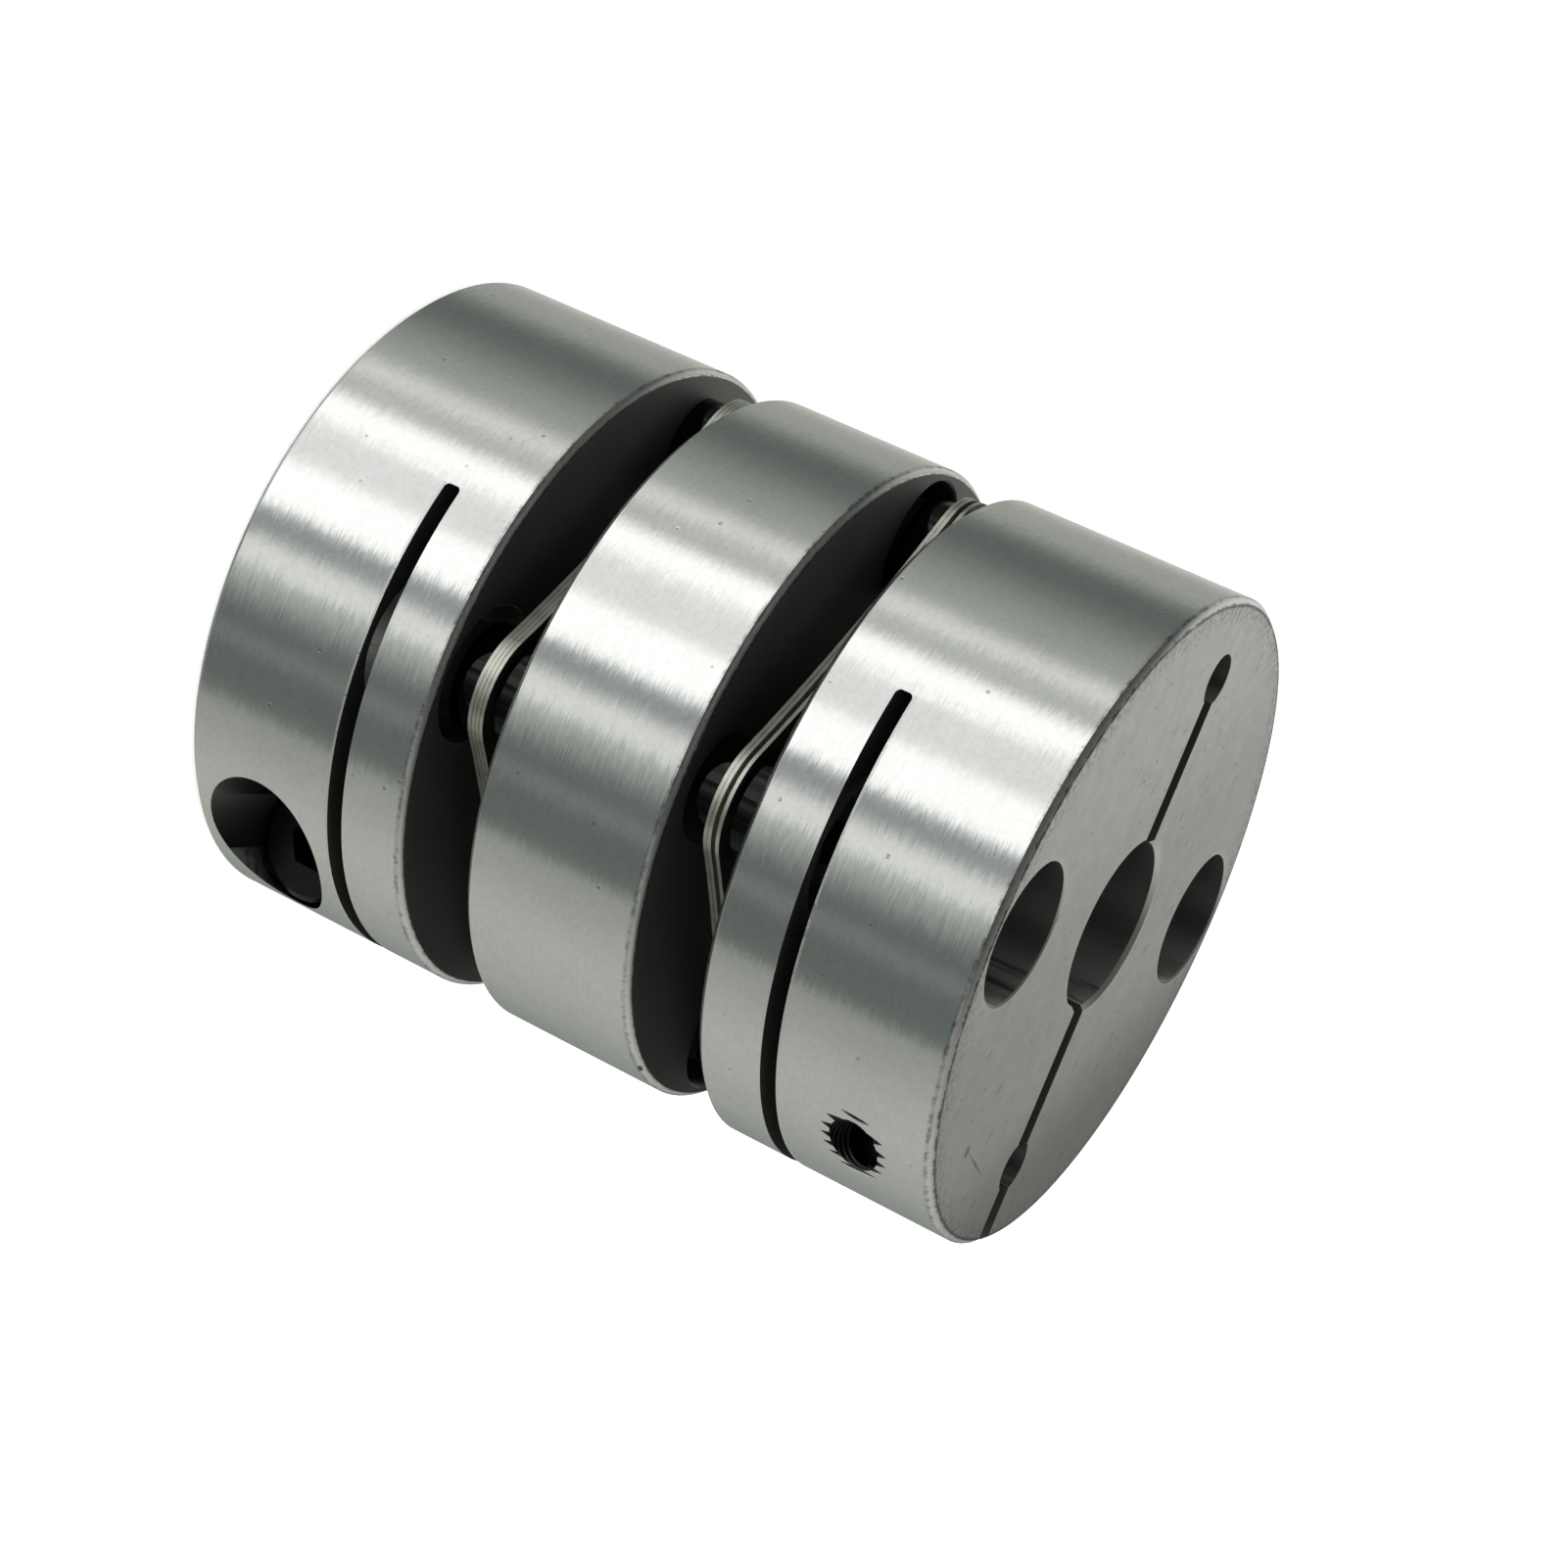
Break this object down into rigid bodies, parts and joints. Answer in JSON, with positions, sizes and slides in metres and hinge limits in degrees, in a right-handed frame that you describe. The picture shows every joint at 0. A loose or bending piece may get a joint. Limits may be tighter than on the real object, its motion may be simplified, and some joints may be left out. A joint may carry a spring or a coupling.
{
  "type": "disc coupling",
  "caption": "Double-disc servo coupling with slotted clamp hubs, a centre spacer and two packs of thin steel leaves between them.",
  "frame": {"origin": "centre of the lower hub's end face, on the axis, on which the coupling stands", "axes": "+Z along the shaft axis from the lower hub to the upper hub; +X towards the open side of both slits; the upper hub's clamp screw thread opens towards -Y"},
  "size_m": [0.039, 0.039, 0.049],
  "materials": {
    "hub_aluminium": "fine turned, satin end face",
    "spacer_aluminium": "fine turned",
    "leaf_steel": "cold rolled stainless",
    "collar_steel": "turned stainless",
    "pack_screw_steel": "black oxide",
    "clamp_screw_steel": "black oxide"
  },
  "bodies": {
    "root": {"centre_spacer": "spacer_aluminium", "lower_clamp_hub": "hub_aluminium", "lower_clamp_screw": "clamp_screw_steel", "lower_collar_left_over": "collar_steel", "lower_collar_left_under": "collar_steel", "lower_collar_open_side_over": "collar_steel", "lower_collar_open_side_under": "collar_steel", "lower_collar_right_over": "collar_steel", "lower_collar_right_under": "collar_steel", "lower_collar_web_side_over": "collar_steel", "lower_collar_web_side_under": "collar_steel", "lower_leaf_1": "leaf_steel", "lower_leaf_2": "leaf_steel", "lower_leaf_3": "leaf_steel", "lower_leaf_4": "leaf_steel", "lower_pack_screw_left": "pack_screw_steel", "lower_pack_screw_open_side": "pack_screw_steel", "lower_pack_screw_right": "pack_screw_steel", "lower_pack_screw_web_side": "pack_screw_steel", "upper_clamp_hub": "hub_aluminium", "upper_clamp_screw": "clamp_screw_steel", "upper_collar_left_over": "collar_steel", "upper_collar_left_under": "collar_steel", "upper_collar_open_side_over": "collar_steel", "upper_collar_open_side_under": "collar_steel", "upper_collar_right_over": "collar_steel", "upper_collar_right_under": "collar_steel", "upper_collar_web_side_over": "collar_steel", "upper_collar_web_side_under": "collar_steel", "upper_leaf_1": "leaf_steel", "upper_leaf_2": "leaf_steel", "upper_leaf_3": "leaf_steel", "upper_leaf_4": "leaf_steel", "upper_pack_screw_left": "pack_screw_steel", "upper_pack_screw_open_side": "pack_screw_steel", "upper_pack_screw_right": "pack_screw_steel", "upper_pack_screw_web_side": "pack_screw_steel"}
  },
  "joints": []
}
